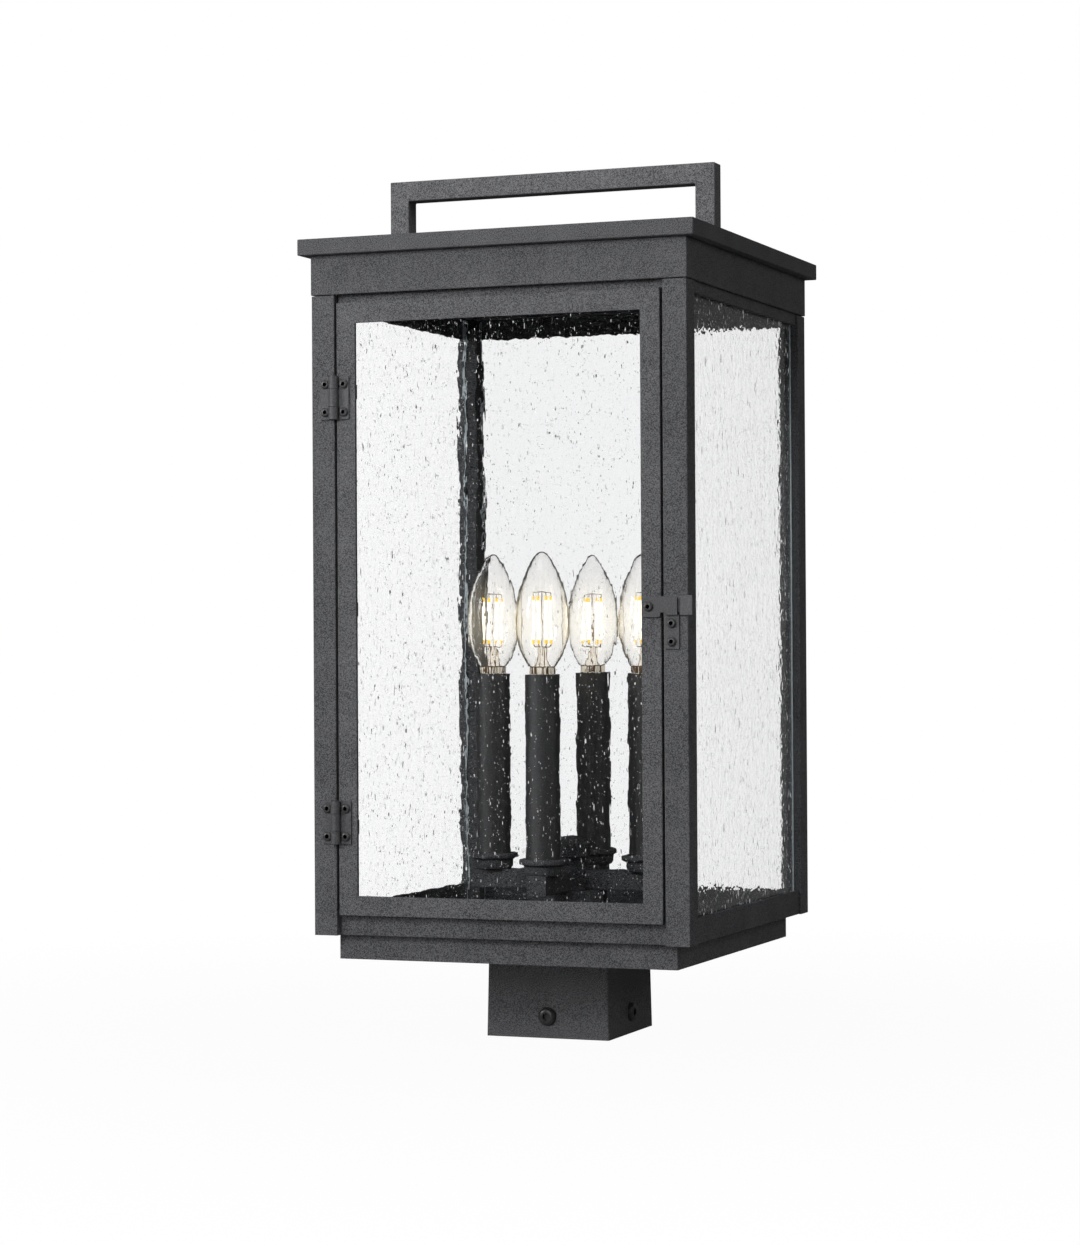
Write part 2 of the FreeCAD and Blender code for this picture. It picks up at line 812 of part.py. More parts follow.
def candle_sleeve():
    """Candle tube that stands in its cup."""
    tube = Part.makeCylinder(sleeve_radius, sleeve_length, UP * cup_floor_top)
    return tube.cut(Part.makeCylinder(sleeve_radius - sleeve_wall, sleeve_length, UP * cup_floor_top))


def lampholder():
    """Socket body on its upright leg and foot, inside a sleeve."""
    bore = bulb_shell_radius + holder_bore_play
    body = Part.makeCylinder(sleeve_radius - sleeve_wall - holder_gap, holder_height, UP * holder_foot)
    seat = UP * (holder_foot + holder_floor)
    body = body.cut(Part.makeCylinder(bore, holder_height - holder_floor, seat))
    half = holder_leg_width / 2
    near = holder_leg_offset - holder_leg_sheet
    leg = block((near, holder_leg_offset), span(half), (cup_floor_top, holder_foot))
    foot = block((wire_hole_radius, holder_leg_offset), span(half),
                 (cup_floor_top, cup_floor_top + holder_leg_sheet))
    return body.fuse(leg).fuse(foot).removeSplitter()


def bulb_base():
    """Screw shell of a bulb with its foot contact and its collar."""
    contact_foot = holder_foot + holder_floor
    return turned([
        (0, contact_foot),
        (bulb_contact_radius, contact_foot),
        (bulb_shell_radius, contact_foot + bulb_contact_height),
        (bulb_shell_radius, collar_foot),
        (bulb_collar_radius, collar_foot),
        (bulb_collar_radius, collar_top),
        (0, collar_top),
    ])


def bulb_body(wall):
    """Candle shape of a bulb, smaller all round by a wall."""
    knots = [V(bulb_radius * radius_share - wall, 0, collar_top + bulb_height * height_share)
             for radius_share, height_share in bulb_shares]
    tip = V(0, 0, collar_top + bulb_height - wall)
    side = Part.BSplineCurve()
    side.interpolate(Points=knots + [tip], FinalTangent=V(-1, 0, 0), InitialTangent=knots[1] - knots[0])
    foot = UP * collar_top
    base = Part.LineSegment(foot, knots[0])
    axis = Part.LineSegment(tip, foot)
    outline = Part.Wire([base.toShape(), side.toShape(), axis.toShape()])
    return Part.Face(outline).revolve(foot, UP, full_turn)


def bulb_filaments():
    """Glass stem, support wires and upright light strips inside a bulb, as one joined piece."""
    strip_foot = collar_top + strip_rise
    strip_top = strip_foot + strip_length
    support_top = collar_top + support_rise
    piece = Part.makeCylinder(stem_radius, stem_height, UP * collar_top)
    piece = piece.fuse(Part.makeCylinder(support_radius, support_top - stem_top, UP * stem_top))
    half = strip_side / 2
    for turn in range(strip_count):
        strip = block((strip_distance - half, strip_distance + half), span(half), (strip_foot, strip_top))
        lower = rod(support_radius, UP * (stem_top - support_radius), V(strip_distance, 0, strip_foot))
        upper = rod(support_radius, UP * (support_top - support_radius), V(strip_distance, 0, strip_top))
        limb = strip.fuse(lower).fuse(upper)
        piece = piece.fuse(turned_about_centre(limb, full_turn * (turn + 1 / 2) / strip_count))
    return piece.removeSplitter()


def at_candles(shape):
    """Copies of a piece at all four candles, turned with the cross."""
    copies = []
    for angle in candle_angles:
        copy = turned_about_centre(shape, angle)
        copy.translate(candle_place(angle))
        copies.append(copy)
    return copies


save("post_fitter", post_fitter())
save("fitter_set_screws", *clamp_screws())
save("fitter_plate_screws", *plate_screws())
save("base_pan", base_pan())
save("post_front_left", front_holes(corner_post(-1, -1), post_screw_places()))
save("post_front_right", front_holes(corner_post(1, -1), keeper_screw_places()))
save("post_rear_left", corner_post(-1, 1))
save("post_rear_right", corner_post(1, 1))
save("rail_front_bottom", front_rail(pan_top))
save("rail_front_top", front_rail(top_rail_foot))

bottom_rail = rear_rail(pan_top, pan_top)
top_rail = rear_rail(top_rail_foot, top_rail_top - side_flange)
fixed_clips = []
for side_name, side_angle in (("rear", 0), ("left", full_turn / 4), ("right", -full_turn / 4)):
    save("rail_" + side_name + "_bottom", turned_about_centre(bottom_rail, side_angle))
    save("rail_" + side_name + "_top", turned_about_centre(top_rail, side_angle))
    save("glass_" + side_name, turned_about_centre(rear_pane(), side_angle))
    fixed_clips += [turned_about_centre(clip, side_angle) for clip in rear_clips()]
save("glass_clips", *fixed_clips)

save("header_box", header_box())
save("roof_cap", roof_cap())
save("handle", handle())
save("handle_screws", *handle_screws())

for hinge_name, hinge_middle in hinge_middles.items():
    save("hinge_" + hinge_name + "_post_leaf", post_leaf(hinge_middle))
    save("hinge_" + hinge_name + "_door_leaf", door_leaf(hinge_middle))
save("hinge_pins", *[hinge_pin(middle) for middle in hinge_middles.values()])
save("hinge_post_screws", *front_buttons(post_screw_places(), leaf_front, leaf_thickness + post_screw_bite))
save("hinge_door_screws", *front_buttons(door_screw_places(), leaf_front, leaf_thickness + door_screw_bite))
save("latch_keeper", latch_keeper())
keeper_front = -post_half - keeper_sheet
save("keeper_screws", *front_buttons(keeper_screw_places(), keeper_front, keeper_sheet + post_screw_bite))

save("door_frame", door_frame())
save("door_glass", door_pane())
save("door_glass_clips", *door_clips())
save("latch_pivot_screw", latch_pivot_screw())
save("latch_arm", latch_arm())

save("wiring_canopy", wiring_canopy())
save("cluster_hub", cluster_hub())
save("cluster_arms", *[cluster_arm(angle) for angle in candle_angles])
save("supply_nipple", supply_nipple())
save("nipple_locknuts", locknut(pan_floor_top), locknut(arm_foot - sheet - locknut_height))
save("supply_wires", supply_wires())
save("lampholders", *at_candles(lampholder()))
save("bulb_bases", *at_candles(bulb_base()))
save("bulb_filaments", *at_candles(bulb_filaments()))
candle_pieces = {
    "candle_cup": at_candles(candle_cup()),
    "candle_sleeve": at_candles(candle_sleeve()),
    "bulb_glass": at_candles(bulb_body(0).cut(bulb_body(bulb_glass_wall))),
}
for piece_name, copies in candle_pieces.items():
    for number, piece in enumerate(copies, 1):
        save(piece_name + "_" + str(number), piece)
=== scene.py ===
import math

import bmesh
import bpy
from mathutils import Matrix, Vector, noise


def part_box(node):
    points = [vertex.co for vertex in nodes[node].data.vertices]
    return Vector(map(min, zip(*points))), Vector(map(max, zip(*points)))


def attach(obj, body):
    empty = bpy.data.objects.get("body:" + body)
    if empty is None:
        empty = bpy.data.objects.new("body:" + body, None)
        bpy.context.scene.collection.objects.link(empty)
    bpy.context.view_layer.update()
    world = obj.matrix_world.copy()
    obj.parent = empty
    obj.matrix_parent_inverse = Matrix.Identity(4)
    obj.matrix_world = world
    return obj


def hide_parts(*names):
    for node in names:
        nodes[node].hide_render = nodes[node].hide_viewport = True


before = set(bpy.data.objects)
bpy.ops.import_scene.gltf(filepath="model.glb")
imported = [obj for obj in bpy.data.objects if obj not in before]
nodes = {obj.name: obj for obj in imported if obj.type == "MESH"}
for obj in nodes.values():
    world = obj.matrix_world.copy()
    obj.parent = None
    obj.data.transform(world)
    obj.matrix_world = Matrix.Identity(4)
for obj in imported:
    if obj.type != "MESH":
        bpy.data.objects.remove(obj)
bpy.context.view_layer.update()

# An outdoor post light: a square lantern of black sand-textured metal with seeded glass on
# all four sides, a hinged glass door, four candle bulbs and a fitter that slips over a post.
# Metres, +Z up, the door towards -Y.
MM = 0.001


# Post fitter: one aluminium casting, open below for a square post, ground flat where the
# clamp screws sit, and powder coated with the rest of the lantern in a fine sand texture.
class Flow:
    """A value, colour or vector on its way through a material; + - * / ** on it add Math nodes."""

    def __init__(self, tree, socket=None):
        self.tree = tree
        self.socket = socket

    def node(self, kind, inputs=(), output=0, **settings):
        """Adds a node: its settings first, then its inputs. Gives one output."""
        made = self.tree.nodes.new(kind)
        for name, value in settings.items():
            setattr(made, name, value)
        for name, value in dict(inputs).items():
            if isinstance(value, Flow):
                self.tree.links.new(value.socket, made.inputs[name])
            else:
                made.inputs[name].default_value = value
        return Flow(self.tree, made.outputs[output])

    def math(self, operation, *values, **settings):
        return self.node("ShaderNodeMath", enumerate(values), operation=operation, **settings)

    def mix(self, share, first, second):
        """Colour that goes from first to second as share goes from 0 to 1."""
        return self.node("ShaderNodeMix", {0: share, 6: first, 7: second}, 2, data_type="RGBA")

    def between(self, low, high):
        """0 below low, 1 above high and an even slope from one to the other."""
        return self.node("ShaderNodeMapRange", {0: self, 1: low, 2: high})

    def __add__(self, other):
        return self.math("ADD", self, other)

    def __sub__(self, other):
        return self.math("SUBTRACT", self, other)

    def __rsub__(self, other):
        return self.math("SUBTRACT", other, self)

    def __mul__(self, other):
        return self.math("MULTIPLY", self, other)

    def __truediv__(self, other):
        return self.math("DIVIDE", self, other)

    def __rtruediv__(self, other):
        return self.math("DIVIDE", other, self)

    def __pow__(self, other):
        return self.math("POWER", self, other)

    __radd__ = __add__
    __rmul__ = __mul__


def new_material(name):
    """An empty material, its nodes, and its own coordinates in metres as a vector and x, y, z."""
    material = bpy.data.materials.new(name)
    material.use_nodes = True
    material.node_tree.nodes.clear()
    flow = Flow(material.node_tree)
    place = flow.node("ShaderNodeTexCoord", output="Object")
    split = [flow.node("ShaderNodeSeparateXYZ", {0: place}, axis) for axis in range(3)]
    return material, flow, place, split


def finished(flow, shader):
    """Sends a shader to the surface."""
    output = flow.tree.nodes.new("ShaderNodeOutputMaterial")
    flow.tree.links.new(shader.socket, output.inputs["Surface"])


def paint(name, shade, rough, grain, relief, gloss=0.25, mottle=0.3, metallic=0.0):
    """Opaque finish: a shade with fine mottling, uneven roughness and the bump of its grain."""
    blotch_grains = 45
    speck_share = 0.45
    fine_share = 0.85
    blotch_share = 0.15
    material, flow, place, _ = new_material(name)
    fine = flow.node("ShaderNodeTexNoise", {
        "Vector": place, "Scale": 1 / grain, "Detail": 1.0, "Roughness": 0.6})
    broad = flow.node("ShaderNodeTexNoise", {
        "Vector": place, "Scale": 1 / (grain * blotch_grains), "Detail": 2.0})
    speck = flow.node("ShaderNodeTexNoise", {
        "Vector": place, "Scale": speck_share / grain, "Detail": 1.0})
    tone = fine.between(0.34, 0.66) * fine_share + broad.between(0.3, 0.7) * blotch_share
    low = [part * (1 - mottle) for part in shade] + [1]
    high = [part * (1 + mottle) for part in shade] + [1]
    colour = flow.mix(tone, low, high)
    bump = flow.node("ShaderNodeBump", {
        "Height": fine * 0.7 + speck * 0.3, "Strength": 1.0, "Distance": relief})
    shader = flow.node("ShaderNodeBsdfPrincipled", {
        "Base Color": colour,
        "Roughness": (broad - 0.5) * 0.12 + (fine - 0.5) * 0.1 + rough,
        "Specular IOR Level": gloss,
        "Metallic": metallic,
        "Normal": bump,
    })
    finished(flow, shader)
    return material


def dress(material, *names):
    """Gives CAD nodes a finish."""
    for name in names:
        for slot in nodes[name].material_slots:
            slot.material = material


def sand_coat(name, shade, grain=0.6 * MM, relief=0.07 * MM, mottle=0.75):
    """Matt powder coat with a fine sand texture."""
    return paint(name, shade, rough=0.62, grain=grain, relief=relief, gloss=0.15, mottle=mottle)


coat = sand_coat("sand_black_coat", (0.105, 0.106, 0.112))
cast_coat = sand_coat("sand_black_casting", (0.142, 0.143, 0.149),
                      grain=0.7 * MM, relief=0.08 * MM, mottle=0.65)
dress(cast_coat, "post_fitter")


# Screws: black oxide steel with domed heads and hexagon sockets. Four clamp the post, four
# hold the base pan, two hold the handle, and small ones hold the hinges and the latch.
def shown(name, shape, material, body, slot, *stands_for, crease=35, places=(Matrix(),)):
    """Makes a piece of a shape, once at each place, rides it on its body and hides what it stands for."""
    one = bpy.data.meshes.new(name)
    shape.to_mesh(one)
    shape.free()
    whole = bmesh.new()
    for place in places:
        one_more = one.copy()
        one_more.transform(place)
        whole.from_mesh(one_more)
        bpy.data.meshes.remove(one_more)
    mesh = bpy.data.meshes.new(name)
    whole.to_mesh(mesh)
    whole.free()
    bpy.data.meshes.remove(one)
    mesh.materials.append(material)
    if crease:
        mesh.shade_smooth()
        mesh.set_sharp_from_angle(angle=math.radians(crease))
    piece = bpy.data.objects.new(name, mesh)
    bpy.context.scene.collection.objects.link(piece)
    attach(piece, body)
    if stands_for:
        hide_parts(*stands_for)
    return piece


def screw_shape(radius, height, socket, shank, bite):
    """Domed screw, its seat at zero and its head upward, with a hexagon socket in the head."""
    flat_share = 0.6
    brim_share = 0.3
    seat_share = 0.96
    bevel_share = 0.06
    socket_share = 0.62
    arc = [(radius * (flat_share + (1 - flat_share) * math.cos(angle)),
            height * (brim_share + (1 - brim_share) * math.sin(angle)))
           for angle in (0, 0.4, 0.8, 1.2, math.pi / 2)]
    shape = bmesh.new()
    points = [(0, -bite), (shank, -bite), (shank, 0), (radius * seat_share, 0),
              (radius, height * bevel_share)] + arc
    corners = [shape.verts.new((distance, 0, z)) for distance, z in points]
    lines = [shape.edges.new(pair) for pair in zip(corners, corners[1:])]
    bmesh.ops.spin(shape, geom=corners + lines, cent=(0, 0, 0), axis=(0, 0, 1), angle=math.tau,
                   steps=48, use_merge=True)
    bmesh.ops.remove_doubles(shape, verts=shape.verts, dist=0.001 * MM)
    hexagon_radius = socket / math.cos(math.pi / 6)
    rim = [edge for edge in shape.edges if edge.is_boundary]
    hexagon = bmesh.ops.create_circle(shape, segments=6, radius=hexagon_radius,
                                      matrix=Matrix.Translation((0, 0, height)))["verts"]
    sides = list({edge for corner in hexagon for edge in corner.link_edges})
    bmesh.ops.subdivide_edges(shape, edges=sides, cuts=7)
    mouth = [edge for edge in shape.edges if edge.is_boundary or edge.is_wire]
    mouth = [edge for edge in mouth if edge not in rim]
    bmesh.ops.bridge_loops(shape, edges=rim + mouth)
    walls = bmesh.ops.extrude_edge_only(shape, edges=mouth)["geom"]
    deep = [part for part in walls if isinstance(part, bmesh.types.BMVert)]
    bmesh.ops.translate(shape, verts=deep, vec=(0, 0, -height * socket_share))
    floor = [part for part in walls if isinstance(part, bmesh.types.BMEdge) and part.is_boundary]
    bmesh.ops.contextual_create(shape, geom=floor)
    bmesh.ops.recalc_face_normals(shape, faces=shape.faces)
    return shape


def standing(point, outward):
    """Place of a piece made upward, standing at a point and turned outward."""
    return Matrix.Translation(point) @ Vector(outward).to_track_quat("Z", "Y").to_matrix().to_4x4()


screw_steel = paint("black_oxide_steel", (0.05, 0.05, 0.053), rough=0.3, grain=0.9 * MM, relief=0.01 * MM,
                    gloss=0.8)
clamp = {"radius": 6 * MM, "height": 3.4 * MM, "socket": 2.3 * MM, "shank": 3 * MM, "bite": 3.4 * MM}
clamp_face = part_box("fitter_set_screws")[1].x - clamp["height"]
clamp_rise = Vector((0, 0, 14.1 * MM))
shown("clamp_screws", screw_shape(**clamp), screw_steel, "lantern", "black_screws", "fitter_set_screws",
      places=[standing(Vector(side) * clamp_face + clamp_rise, side)
              for side in ((1, 0, 0), (-1, 0, 0), (0, 1, 0), (0, -1, 0))])
dress(screw_steel, "hinge_pins")
zinc = paint("zinc_plated_steel", (0.42, 0.42, 0.40), rough=0.38, grain=1.2 * MM, relief=0.01 * MM,
             gloss=0.6)
dress(zinc, "fitter_plate_screws", "handle_screws")


# Base pan: a tray folded from 1.5 mm sheet steel, screwed down on the fitter, with the four
# corner posts welded to its rim. Coated like the rest.
def softened(name, material, body, slot, radius=0.35 * MM, joint=0.0):
    """Stands for a CAD node with the same shape, its sharp edges broken as folding and paint leave them.

    A joint leaves that much open above its upper end."""
    merging = 0.002 * MM
    level = 0.01 * MM
    shape = bmesh.new()
    shape.from_mesh(nodes[name].data)
    bmesh.ops.remove_doubles(shape, verts=shape.verts, dist=merging)
    end = max(vert.co.z for vert in shape.verts)
    for vert in shape.verts:
        if vert.co.z > end - level:
            vert.co.z -= joint
    bmesh.ops.dissolve_limit(shape, angle_limit=math.radians(1), verts=shape.verts, edges=shape.edges)
    sharp = [edge for edge in shape.edges
             if edge.is_manifold and edge.calc_face_angle(0) > math.radians(40)]
    for face in shape.faces:
        face.smooth = False
    rounded = bmesh.ops.bevel(shape, geom=sharp, offset=radius, offset_type="OFFSET", segments=3,
                              profile=0.5, affect="EDGES", clamp_overlap=True, material=-1)
    for face in rounded["faces"]:
        face.smooth = True
    return shown(name + "_coated", shape, material, body, slot, name, crease=0)


softened("base_pan", coat, "lantern", "black_coat")

# Corner posts: square steel tube, 15.9 mm, welded from inside between the pan and the header,
# so that a thin dark joint shows under the header.
for corner in ("front_left", "front_right", "rear_left", "rear_right"):
    softened("post_" + corner, coat, "lantern", "black_coat", radius=0.5 * MM, joint=0.6 * MM)

# Rails: a tube rail behind the door above and below, and angle rails on the other three
# sides, whose lips keep the fixed panes from falling outward.
for side in ("front", "rear", "left", "right"):
    for level in ("bottom", "top"):
        softened("rail_" + side + "_" + level, coat, "lantern", "black_coat")

# Header box: a plain band folded from sheet steel, welded on the posts, with a flange inward
# under the roof.
softened("header_box", coat, "lantern", "black_coat", radius=0.5 * MM)

# Roof: a folded sheet steel plate that overhangs the header, and its lift handle of square
# bar with mitred corners, held by two screws from below.
softened("roof_cap", coat, "lantern", "black_coat", radius=0.6 * MM)
# The handle's coat is a lighter copy of the same coat. This is painted light on the handle.
handle_coat_painted_lighter = sand_coat("sand_black_bar_painted_lighter", (0.155, 0.156, 0.162))
dress(handle_coat_painted_lighter, "handle")


# Fixed panes: 3 mm seeded glass, clear, with small upright bubbles and a faint roll in its
# surface, hand cut so that its edges waver. Spring clips hold it against the rails' lips.
def bubbles(flow, across, up, width, height, share, size):
    """Bubbles, one in some cells of a width and height: 1 in the middle of each, falling to 0 at its rim."""
    spot = flow.node("ShaderNodeCombineXYZ", {0: across / width, 1: up / height})
    settings = {"voronoi_dimensions": "2D", "feature": "F1"}
    least_share = 0.4
    away = flow.node("ShaderNodeTexVoronoi", {"Vector": spot, "Scale": 1.0}, "Distance", **settings)
    luck = flow.node("ShaderNodeTexVoronoi", {"Vector": spot, "Scale": 1.0}, "Color", **settings)
    draw = flow.node("ShaderNodeSeparateColor", {0: luck}, 2)
    radius = (flow.math("FRACT", draw * 37.0) ** 2.0 * (1 - least_share) + least_share) * size
    present = flow.math("LESS_THAN", draw, share)
    near = away / radius
    return flow.math("MAXIMUM", 1 - near * near, 0.0) * present


def waver(flow, across, up, width, height, rough=0.5):
    """Smooth unevenness between 0 and 1, whose humps have a width and a height."""
    spot = flow.node("ShaderNodeCombineXYZ", {0: across / width, 1: up / height})
    return flow.node("ShaderNodeTexNoise", {
        "Vector": spot, "Scale": 1.0, "Detail": 1.0, "Roughness": rough})


def let_light_through(flow, shader, tint):
    """Sends a glass to the surface, which lamps and diffuse light pass as plain tinted air."""
    lamp_ray = flow.node("ShaderNodeLightPath", output="Is Shadow Ray")
    matt_ray = flow.node("ShaderNodeLightPath", output="Is Diffuse Ray")
    open_air = flow.node("ShaderNodeBsdfTransparent", {"Color": tint})
    finished(flow, flow.node("ShaderNodeMixShader", {
        0: flow.math("MAXIMUM", lamp_ray, matt_ray), 1: shader, 2: open_air}))


glass, flow, place, (x, y, z) = new_material("seeded_glass")
normal = flow.node("ShaderNodeTexCoord", output="Normal")
square_on = flow.node("ShaderNodeVectorMath", {0: normal}, "Vector", operation="ABSOLUTE")
depth = flow.node("ShaderNodeVectorMath", {0: square_on, 1: place}, "Value", operation="DOT_PRODUCT")
# The left and right panes have more streaks, and each pane has a part of the pattern to itself.
side_pane = flow.node("ShaderNodeSeparateXYZ", {0: square_on}, 0)
across = x + y
up = z + depth * 100.0
seed = bubbles(flow, across, up, width=2.3 * MM, height=10 * MM, share=side_pane * 0.2 + 0.25, size=0.115)
dot = bubbles(flow, across + 0.37, up + 0.11, width=2.2 * MM, height=3 * MM, share=0.2, size=0.11)
streak_seed = bubbles(flow, across + 0.53, up + 0.17, width=4 * MM, height=36 * MM,
                      share=side_pane * 0.2 + 0.22, size=0.07)
drawn_out = bubbles(flow, across + 0.91, up + 0.43, width=6.5 * MM, height=34 * MM,
                    share=side_pane * 0.45, size=0.1)
blister = bubbles(flow, across + 0.73, up + 0.29, width=12 * MM, height=30 * MM, share=0.22, size=0.056)
roll = waver(flow, across, up, width=11 * MM, height=26 * MM, rough=0.4)
draw = waver(flow, across, up, width=1.6 * MM, height=24 * MM)
ripple = waver(flow, across, up, width=5 * MM, height=8 * MM)
swell = waver(flow, across, up, width=5 * MM, height=4 * MM)
surface = roll * 0.27 + ripple * 0.14 + swell * side_pane * 0.25 + draw * 0.03
hollows = seed * 0.5 + streak_seed * 0.4 + drawn_out * 0.5 + dot * 0.2 + blister * 0.6
relief = flow.node("ShaderNodeBump", {"Height": surface + hollows, "Strength": 1.0, "Distance": 0.55 * MM})
# Seen square on, the glass has its grey tint. Where it is seen aslant, the tint is painted lighter, which
# brightens slanted panes.
slant = flow.node("ShaderNodeLayerWeight", {"Blend": 0.5}, "Facing").between(0.08, 0.32)
glass_tint_lightened_aslant = flow.mix(slant, (0.84, 0.842, 0.845, 1), (0.99, 0.99, 0.992, 1))
clear = flow.node("ShaderNodeBsdfPrincipled", {
    "Base Color": flow.mix(draw.between(0.62, 0.8) * 0.1, glass_tint_lightened_aslant, (0.4, 0.42, 0.43, 1)),
    "Roughness": 0.0, "IOR": 1.25, "Transmission Weight": 1.0, "Normal": relief})
# Bubbles carry painted light and shade. Some get a painted white glint that also glows, more on the side
# panes, and the others are painted dark.
bubble = seed
for other in (streak_seed, blister, dot, drawn_out):
    bubble = flow.math("MAXIMUM", bubble, other)
bubble_glint_painted = ripple.between(0.43, 0.51)
painted_bubble_light = flow.node("ShaderNodeBsdfPrincipled", {
    "Base Color": flow.mix(bubble_glint_painted, (0.04, 0.041, 0.043, 1), (0.9, 0.9, 0.9, 1)),
    "Emission Color": flow.mix(bubble_glint_painted * (side_pane * 0.7 + 0.3), (0, 0, 0, 1), (0.4, 0.4, 0.41, 1)),
    "Emission Strength": 1.0,
    "Roughness": 0.25})
inside = bubble.between(0.03, 0.3) * 0.85
seeded = flow.node("ShaderNodeMixShader", {0: inside, 1: clear, 2: painted_bubble_light})
let_light_through(flow, seeded, (0.85, 0.86, 0.86, 1))
cut_edge = paint("cut_glass_edge", (0.66, 0.76, 0.8), rough=0.35, grain=1.6 * MM, relief=0.1 * MM,
                 gloss=0.6, mottle=0.2)


def pane(name, node, body, stray):
    """Pane that stands for a CAD pane: its cut edges waver inward by up to stray."""
    waves = 90
    chips = 3
    cuts_up, cuts_across = 110, 60
    edge_break = 0.35 * MM
    near = 0.01 * MM
    low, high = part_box(node)
    size = high - low
    thin = 0 if size.x < size.y else 1
    wide = 1 - thin
    shape = bmesh.new()
    bmesh.ops.create_grid(shape, x_segments=1, y_segments=1, size=0.5)
    bmesh.ops.scale(shape, vec=(size[wide], size.z, 1), verts=shape.verts)
    upright = [edge for edge in shape.edges if abs(edge.verts[0].co.x - edge.verts[1].co.x) < MM]
    level = [edge for edge in shape.edges if edge not in upright]
    bmesh.ops.subdivide_edges(shape, edges=upright, cuts=cuts_up)
    bmesh.ops.subdivide_edges(shape, edges=level, cuts=cuts_across)
    half = Vector((size[wide] / 2, size.z / 2))
    for vert in shape.verts:
        spot = Vector((vert.co.x * waves, vert.co.y * waves, thin * 7 + low.x * 50))
        bite = stray * (0.5 + 0.5 * noise.noise(spot) + 0.35 * noise.noise(spot * chips))
        for axis in (0, 1):
            if abs(abs(vert.co[axis]) - half[axis]) < near:
                vert.co[axis] -= math.copysign(max(bite, 0), vert.co[axis])
    thickness = bmesh.ops.extrude_face_region(shape, geom=list(shape.faces))["geom"]
    risen = [part for part in thickness if isinstance(part, bmesh.types.BMVert)]
    bmesh.ops.translate(shape, verts=risen, vec=(0, 0, size[thin]))
    bmesh.ops.translate(shape, verts=shape.verts, vec=(0, 0, -size[thin] / 2))
    bmesh.ops.recalc_face_normals(shape, faces=shape.faces)
    rim = [edge for edge in shape.edges if edge.calc_face_angle(0) > math.radians(60)]
    bmesh.ops.bevel(shape, geom=rim, offset=edge_break, offset_type="OFFSET", segments=2, profile=0.5,
                    affect="EDGES", clamp_overlap=True, material=-1)
    stand = Matrix.Rotation(math.pi / 2, 4, "X")
    if thin == 0:
        stand = Matrix.Rotation(math.pi / 2, 4, "Z") @ stand
    for face in shape.faces:
        face.smooth = abs(face.normal.z) < 0.99
        face.material_index = int(abs(face.normal.z) < 0.6)
    piece = shown(name, shape, glass, body, "seeded_glass", node, crease=0,
                  places=[Matrix.Translation((low + high) / 2) @ stand])
    piece.data.materials.append(cut_edge)


for side in ("rear", "left", "right"):
    pane("pane_" + side, "glass_" + side, "lantern", stray=0.9 * MM)
dress(coat, "glass_clips", "door_glass_clips")

# Door: a welded frame of flat steel bar with a rebate for its pane, which clips hold from
# behind. It laps over the rails above and below.
# The door's coat is a slightly lighter copy of the same coat. This is painted light on the door.
door_coat_painted_lighter = sand_coat("sand_black_door_painted_lighter", (0.117, 0.118, 0.124))
softened("door_frame", door_coat_painted_lighter, "door", "black_coat", radius=0.5 * MM)
pane("pane_door", "door_glass", "door", stray=0.1 * MM)

# Hinges: two butt hinges of 1.4 mm steel, their leaves rolled round a pin, screwed on the
# left post and on the door's stile, coated with the rest.
hinge_coat = paint("sand_black_hinge", (0.085, 0.086, 0.09), rough=0.45, grain=0.8 * MM, relief=0.05 * MM,
                   gloss=0.5, mottle=0.4)
for level in ("upper", "lower"):
    softened("hinge_" + level + "_post_leaf", hinge_coat, "lantern", "black_coat", radius=0.2 * MM)
    softened("hinge_" + level + "_door_leaf", hinge_coat, "door", "black_coat", radius=0.2 * MM)

button = {"radius": 3 * MM, "height": 1.6 * MM, "socket": 1.25 * MM, "shank": 1.5 * MM, "bite": 1.4 * MM}
front = (0, -1, 0)
screw_spread = 8.95 * MM
rows = []
for level in ("upper", "lower"):
    low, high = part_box("hinge_" + level + "_post_leaf")
    rows += [(low.z + high.z) / 2 + drop for drop in (-screw_spread, screw_spread)]
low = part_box("hinge_post_screws")[0]
leaf_front = low.y + button["height"]
post_screw_x = low.x + button["radius"]
door_screw_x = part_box("hinge_door_screws")[1].x - button["radius"]
shown("hinge_post_screw_heads", screw_shape(**button), screw_steel, "lantern", "black_screws",
      "hinge_post_screws", places=[standing((post_screw_x, leaf_front, row), front) for row in rows])
shown("hinge_door_screw_heads", screw_shape(**button), screw_steel, "door", "black_screws",
      "hinge_door_screws", places=[standing((door_screw_x, leaf_front, row), front) for row in rows])

# Latch: a flat steel arm that swings on a shouldered screw and drops behind the lip of a
# bent keeper, which two screws hold on the right post.
softened("latch_keeper", hinge_coat, "lantern", "black_coat", radius=0.25 * MM)
softened("latch_arm", hinge_coat, "latch", "black_coat", radius=0.25 * MM)
low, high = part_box("latch_pivot_screw")
shown("latch_pivot_head", screw_shape(**button), screw_steel, "door", "black_screws", "latch_pivot_screw",
      places=[standing(((low.x + high.x) / 2, low.y + button["height"], (low.z + high.z) / 2), front)])
low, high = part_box("keeper_screws")
shown("keeper_screw_heads", screw_shape(**button), screw_steel, "lantern", "black_screws", "keeper_screws",
      places=[standing(((low.x + high.x) / 2, low.y + button["height"], row), front)
              for row in (low.z + button["radius"], high.z - button["radius"])])

